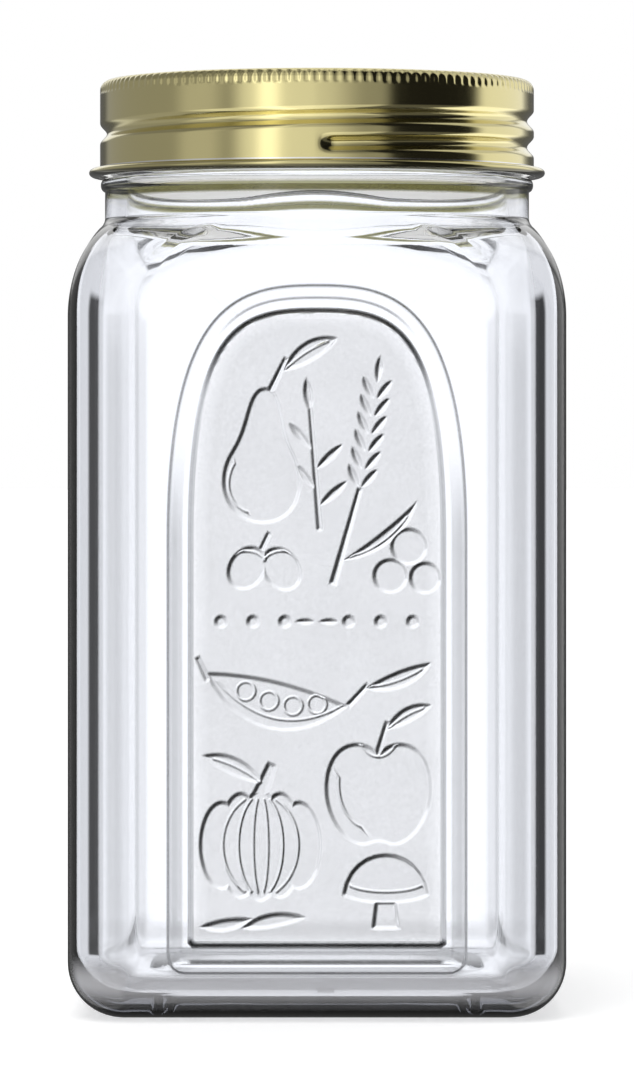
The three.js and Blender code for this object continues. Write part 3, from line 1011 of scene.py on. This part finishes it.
def front_reach(rows, wall_straight, points):
    """The front's distance from the axis at each (x, z) between the first and the last of the rows."""
    columns = range(-PANEL_COLUMN - 2, PANEL_COLUMN + 3)
    levels = []
    for row in rows:
        places = np.array([row_point(row, wall_straight, column) for column in columns])
        levels.append(np.interp(points[:, 0], places[:, 0], -places[:, 1]))
    heights = np.array([row[1] for row in rows])
    above = np.clip(np.searchsorted(heights, points[:, 1]), 1, len(rows) - 1)
    share_up = (points[:, 1] - heights[above - 1]) / (heights[above] - heights[above - 1])
    levels = np.array(levels)
    each = np.arange(len(points))
    return levels[above - 1, each] * (1 - share_up) + levels[above, each] * share_up


def raise_thread(points):
    """Raises the thread on the part of the neck that carries it."""
    x, y, height = points.T
    finish = (np.abs(np.hypot(x, y) - FINISH_RADIUS) < 0.01) & (height < VESSEL_HEIGHT - 1)
    turn, foot = turn_of(points), GROOVE_FOOT + 0.6 * THREAD_PITCH
    ridge = thread_share(
        turn, height, start=0.1, turns=1.2, foot=foot, width=2.6, pitch=THREAD_PITCH, fades=(0.12, 0.12)
    )
    points[:, :2] *= (1 + RIDGE_HEIGHT * finish * ridge / FINISH_RADIUS)[:, None]


def model_front(settings, rows, first, last):
    """The front between two levels, with the moulded panel and how its glass looks kept as attributes."""
    net, triangles = front_net(settings, rows, first, last).fill()
    x, z = net.T
    wall = BODY_HALF - front_reach(rows[first : last + 1], BODY_HALF - settings.corner_radius, net)
    depth, painted_light, stipple = moulding(net, settings)
    close, side = 0.01, 33
    on_rim = (np.abs(z - rows[first][1]) < close) | (np.abs(z - rows[last][1]) < close) | (np.abs(x) > side)
    sunk = np.where(on_rim, wall, np.maximum(wall, depth))
    front = mesh_object("front_panel", np.stack([x, sunk - BODY_HALF, z], 1), triangles)
    keep_look(front, painted_light, stipple)
    return front


def keep_look(piece, painted_light, stipple):
    """Stores how bright the glass is painted, with its painted shade and highlights, and where the glass is
    stippled, for the material.
    """
    for name, values in ((PAINTED_LIGHT, painted_light), (STIPPLE, stipple)):
        layer = piece.data.attributes.new(name, "FLOAT", "POINT")
        layer.data.foreach_set("value", np.broadcast_to(values, len(layer.data)).astype(np.float32))


def model_vessel(settings):
    """The glass vessel: a profile turned, squared level by level, with the moulded front let in."""
    rows, outside = vessel_rows(settings)
    straight = BODY_HALF - settings.corner_radius
    inner_straight = BODY_HALF - settings.wall - settings.inner_corner_radius
    points = []
    for at, row in enumerate(rows):
        wall = straight if at < outside else inner_straight
        points += [(*row_point(row, wall, column), row[1]) for column in range(COLUMNS)]
    points = np.array(points)
    raise_thread(points)
    first = max(at for at in range(outside) if rows[at][1] < FRONT_FOOT)
    last = min(at for at in range(first, outside) if rows[at][1] > FRONT_TOP)
    faces = []
    for at in range(len(rows) - 1):
        low, high = at * COLUMNS, (at + 1) * COLUMNS
        for column in range(COLUMNS):
            across = (column + 1) % COLUMNS
            from_front = column if column < COLUMNS / 2 else column - COLUMNS
            if not (first <= at < last and -PANEL_COLUMN <= from_front < PANEL_COLUMN):
                faces.append((low + column, low + across, high + across, high + column))
    vessel = mesh_object("glass_vessel", points, faces)
    keep_look(vessel, 1, 0)
    front = model_front(settings, rows, first, last)
    select_only(vessel)
    front.select_set(True)
    bpy.ops.object.join()
    clean_up(vessel, merge=0.004)
    smooth(vessel, degrees=50)
    return vessel


# The closure

TIN, LINING = 1, 2


def sheet_outline(line, thickness):
    """The closed outline of a sheet that follows a line drawn through the middle of its thickness."""
    line = np.array(line)
    aside = sideways(line) * thickness / 2
    return [*map(tuple, line - aside), *map(tuple, (line + aside)[::-1])]


def band_line(settings):
    """The middle of the band's sheet from the flange's inner edge to the end of the curl."""
    half = settings.sheet / 2
    top, bottom, middle = BAND_HIGH.z, BAND_LOW.z, BAND_RADIUS - half
    corner, curl_height, curl_width, skirt_levels = 2.1, 2, 2.85, 52
    skirt_top, skirt_bottom = top - corner, bottom + curl_height
    curl_x, curl_z = curl_width / 2 - half, curl_height / 2 - half
    level_gap = (skirt_bottom - skirt_top) / skirt_levels
    return [
        *[(BAND_RADIUS - inset, top - half) for inset in (5.5, 5.2, 3.5)],
        *arc(BAND_RADIUS - corner, top - corner, corner - half, corner - half, QUARTER, 0, 8),
        *[(middle, skirt_top + level_gap * level) for level in range(1, skirt_levels)],
        *arc(middle + curl_x, bottom + curl_height / 2, curl_x, curl_z, math.pi, 2.6 * math.pi, 22),
    ]


def model_band(settings):
    """The screw band: flange, fluted top edge, skirt with the rolled thread, and the outward curl."""
    outline = sheet_outline(band_line(settings), settings.sheet)
    band = spun("screw_band_gold", outline, steps=4 * settings.flutes)
    points = points_of(band)
    reach, height, turn = np.hypot(points[:, 0], points[:, 1]), points[:, 2], turn_of(points)
    pitch, width = settings.thread_pitch, settings.groove_width
    pressed = thread_share(
        turn, height, start=0, turns=1.5, foot=GROOVE_FOOT, width=width, pitch=pitch, fades=(0.012, 0.12)
    )
    pressed *= settings.groove_depth * (reach <= BAND_RADIUS + settings.sheet / 2)
    below_top = BAND_HIGH.z - height
    grip = (1 - between(below_top, 2.6, 3.1)) * between(below_top, 0, 0.35)
    grip *= reach > BAND_RADIUS - settings.sheet - 0.6
    fluted = settings.flute_depth * grip * (0.5 + 0.5 * np.cos(2 * np.pi * settings.flutes * turn))
    points[:, :2] *= (1 - (pressed + fluted) / np.maximum(reach, 1))[:, None]
    move_points(band, points)
    smooth(band, degrees=60)
    return band


def paint_band(band):
    """Lines the skirt's inner side and the flange's underside, and bares the tin where the curl starts."""
    for face in band.data.polygons:
        centre = face.center / MM
        reach = math.hypot(centre.x, centre.y)
        outward = (face.normal.x * centre.x + face.normal.y * centre.y) / max(reach, 1)
        in_curl = centre.z < BAND_LOW.z + 2.02 and reach > BAND_RADIUS - 0.4
        under_flange = face.normal.z < -0.7 and centre.z > BAND_HIGH.z - 1
        if in_curl and reach < BAND_RADIUS + 0.5:
            face.material_index = TIN
        elif not in_curl and (outward < -0.3 or under_flange):
            face.material_index = LINING


def model_disc(settings):
    """The loose disc: a raised middle, a rolled bead and a rim turned down round the seal."""
    half = settings.sheet / 2
    middle = SEAL_HIGH.z + GAP + half
    rim = DISC_HIGH.x - half
    bend = 0.75 - half
    dome_reach, dome_height, flat_reach = 13, 0.35, 20
    bead_reach, bead_width, bead_depth = 33, 4, 0.6
    shares = np.linspace(0, 1, 13)
    line = [
        *[(dome_reach * t, middle + dome_height * math.cos(QUARTER * t) ** 2) for t in shares],
        (flat_reach, middle),
        *[(bead_reach + bead_width * t, middle - bead_depth * math.sin(math.pi * t) ** 2) for t in shares],
        *arc(rim - bend, middle - bend, bend, bend, QUARTER, 0, 6),
        (rim, DISC_LOW.z + 0.02),
    ]
    outline = sheet_outline(line, settings.sheet)
    disc = spun("lid_disc_gold", [(max(x, 0), z) for x, z in outline], steps=192)
    smooth(disc, degrees=50)
    return disc


def model_seal():
    """The ring of sealing compound under the disc's rim."""
    edge, width = 0.3, 3.8
    low, high = SEAL_LOW.z + edge, SEAL_HIGH.z - edge
    outside, inside = SEAL_HIGH.x - edge, SEAL_HIGH.x - width + edge
    outline = [
        *arc(outside, low, edge, edge, -QUARTER, 0, 4),
        *arc(outside, high, edge, edge, 0, QUARTER, 4),
        *arc(inside, high, edge, edge, QUARTER, math.pi, 4),
        *arc(inside, low, edge, edge, math.pi, 3 * QUARTER, 4),
    ]
    ring = spun("sealing_ring_compound", outline, steps=192)
    smooth(ring, degrees=60)
    return ring


# The studio

# Bearings are degrees from straight behind the jar, positive to the right; the camera is at 180. A card is its
# first and last bearing, the width of its soft edges and, if it is bright, its strength.

DARK_CARD = (88, 142, 7)
BRIGHT_CARDS = (
    (-190, -138, 12, 0.6),
    (-160, -149, 8, 0.75),
    (-127, -103, 12, 0.22),
    (38, 84, 8, 0.72),
    (165, 190, 24, 0.45),
)
THROUGH_TONE = (0.965, 0.988, 1.04)
SENSOR = 36
FRAME_ROWS = 1086
SHIFT_ROWS = 143


def through_light(bearing, rise):
    """What shows through the glass: white, a dark card at each side, and some grey below eye level."""
    aside, fall = bearing.absolute(), 0 - rise
    grey = 0.2 * aside.window(9, 22, 4) + 0.16 * aside.window(15, 20, 3)
    light = 1.36 * (1 - 0.28 * aside.ramp(20, 32))
    light = light * (1 - 0.93 * aside.window(61, 88, 11) * rise.window(-14, 14, 6))
    light = light * (1 - 0.42 * fall.ramp(38, 46) * (1 - aside.ramp(40, 55)))
    return light * (1 - grey * fall.ramp(-2, -0.2))


def mirrored_light(bearing, rise):
    """What the surfaces mirror: bright cards, a dark card, a bright table, and dimness behind the jar."""
    aside, fall = bearing.absolute(), 0 - rise
    dark = bearing.window(*DARK_CARD)
    light = 0.36 - 0.345 * dark
    for first, last, soft, strength in BRIGHT_CARDS:
        light = light + strength * bearing.window(first, last, soft)
    table = (1 - 0.75 * dark) * (1 - 0.85 * bearing.window(-110, -40, 15))
    light = light + 0.42 * fall.window(15, 80, 12) * table
    light = light * (1 - 0.3 * rise.ramp(20, 34)) * (1 - 0.45 * rise.ramp(56, 70)) + 0.3 * rise.ramp(68, 80)
    behind = 1 - aside.ramp(26, 36)
    return (light * (1 - behind) + behind * (0.12 + 0.9 * rise.ramp(4, 11))).larger(0.01)


def studio_world():
    """White for the camera, and its own light for what passes the glass and for what the surfaces mirror."""
    world = bpy.data.worlds.new("studio")
    bpy.context.scene.world = world
    build = NodeBuilder(world)
    x, y, z = build.parts(build.add("ShaderNodeTexCoord", output="Generated"))
    bearing = build.math("ARCTAN2", x, y) * math.degrees(1)
    rise = build.math("ARCSINE", z) * math.degrees(1)
    to_camera, through = build.rays("Camera", "Transmission")
    strength = mirrored_light(bearing, rise) * (1 - through) + through * through_light(bearing, rise)
    strength = strength * (1 - to_camera) + to_camera
    tone = build.mix(through * (1 - to_camera), rgba((1, 1, 1)), rgba(THROUGH_TONE))
    background = build.add("ShaderNodeBackground", {}, {"Color": tone, "Strength": strength})
    build.add("ShaderNodeOutputWorld", {}, {"Surface": background})


def floor_material(settings):
    """Pale floor that keeps the jar's soft shadow; glass and metal look past it to the studio."""
    material, build = new_material("pale floor")
    mirrored, through = build.rays("Glossy", "Transmission")
    matt = build.add("ShaderNodeBsdfDiffuse", {}, {"Color": rgba(settings.floor_colour)})
    glow = build.add("ShaderNodeEmission", {}, {"Color": (1, 1, 1, 1), "Strength": 0.5})
    pale = build.add("ShaderNodeAddShader", {}, [matt, glow])
    clear = build.add("ShaderNodeBsdfTransparent")
    build.surface(build.add("ShaderNodeMixShader", {}, [mirrored.larger(through), pale, clear]))
    return material


def sun_lamp(place, target, spread, strength):
    """A soft sun that casts the shadow and isn't mirrored."""
    lamp = bpy.data.lights.new("key", "SUN")
    lamp.energy, lamp.angle = strength, math.radians(spread)
    holder = bpy.data.objects.new("key", lamp)
    bpy.context.scene.collection.objects.link(holder)
    holder.location = place
    holder.rotation_euler = (Vector(target) - Vector(place)).to_track_quat("-Z", "Y").to_euler()
    holder.visible_glossy = False
    holder.visible_transmission = False


def build_camera(settings):
    data = bpy.data.cameras.new("camera")
    camera = bpy.data.objects.new("camera", data)
    bpy.context.scene.collection.objects.link(camera)
    camera.location = (0, -settings.distance * MM, settings.eye_height * MM)
    camera.rotation_euler = (QUARTER, 0, 0)
    data.sensor_width = SENSOR
    data.lens = SENSOR * settings.distance / settings.frame_height
    data.shift_y = -SHIFT_ROWS / FRAME_ROWS
    data.clip_start, data.clip_end = 0.05, 50
    bpy.context.scene.camera = camera


# Operators


def finish_piece(piece, materials, body, node):
    """Gives a piece its materials, hangs it on its body's empty and hides the piece of the frame that it
    stands for.
    """
    for material in materials:
        piece.data.materials.append(material)
    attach(piece, body)
    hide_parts(node)


class STORAGEJAR_OT_vessel(bpy.types.Operator):
    """Model the square glass vessel with its arched front panel"""

    bl_idname = "storage_jar.vessel"
    bl_label = "Glass Vessel"

    def execute(self, context):
        settings = context.scene.jar_vessel
        finish_piece(model_vessel(settings), [glass_material(settings)], "jar", "jar_body")
        return {"FINISHED"}


class STORAGEJAR_OT_closure(bpy.types.Operator):
    """Model the screw band, the loose disc and the sealing ring"""

    bl_idname = "storage_jar.closure"
    bl_label = "Screw Closure"

    def execute(self, context):
        settings = context.scene.jar_closure
        gold, tin, lining = gold_material(settings), tin_material(settings), lining_material(settings)
        band, disc = model_band(settings), model_disc(settings)
        finish_piece(band, [gold, tin, lining], "band", "screw_band")
        paint_band(band)
        finish_piece(disc, [gold, lining], "lid", "lid_disc")
        for face in disc.data.polygons:
            face.material_index = int(face.normal.z < -0.5)
        finish_piece(model_seal(), [seal_material(settings)], "lid", "sealing_ring")
        return {"FINISHED"}


class STORAGEJAR_OT_studio(bpy.types.Operator):
    """Set up the floor, the light and the camera"""

    bl_idname = "storage_jar.studio"
    bl_label = "Studio"

    def execute(self, context):
        settings = context.scene.jar_studio
        bpy.ops.object.select_all(action="DESELECT")
        bpy.ops.mesh.primitive_plane_add(size=12, location=(0, 0, 0))
        floor = context.active_object
        floor.name = "floor"
        floor.data.materials.append(floor_material(settings))
        studio_world()
        sun_lamp(place=(-0.25, -0.35, 1.6), target=(0, 0, 0.1), spread=40, strength=0.8)
        build_camera(settings)
        context.scene.view_settings.view_transform = "Standard"
        return {"FINISHED"}


class STORAGEJAR_PT_panel(bpy.types.Panel):
    """Every setting of the jar, and a button under each group of them"""

    bl_idname = "STORAGEJAR_PT_panel"
    bl_label = "Storage Jar"
    bl_space_type = "VIEW_3D"
    bl_region_type = "UI"
    bl_category = "Storage Jar"

    def draw(self, context):
        column = self.layout.column()
        for name, group, operator in PARTS:
            settings = getattr(context.scene, name)
            for setting in group.__annotations__:
                column.prop(settings, setting)
            column.operator(operator)


PARTS = (
    ("jar_vessel", VesselSettings, "storage_jar.vessel"),
    ("jar_closure", ClosureSettings, "storage_jar.closure"),
    ("jar_studio", StudioSettings, "storage_jar.studio"),
)
CLASSES = (
    *(group for _, group, _ in PARTS),
    STORAGEJAR_OT_vessel,
    STORAGEJAR_OT_closure,
    STORAGEJAR_OT_studio,
    STORAGEJAR_PT_panel,
)


def register():
    for cls in CLASSES:
        bpy.utils.register_class(cls)
    for name, group, _ in PARTS:
        setattr(bpy.types.Scene, name, bpy.props.PointerProperty(type=group))


def unregister():
    for name, _, _ in PARTS:
        delattr(bpy.types.Scene, name)
    for cls in reversed(CLASSES):
        bpy.utils.unregister_class(cls)


def main():
    register()
    bpy.ops.storage_jar.vessel()
    bpy.ops.storage_jar.closure()
    bpy.ops.storage_jar.studio()


if __name__ == "__main__":
    main()
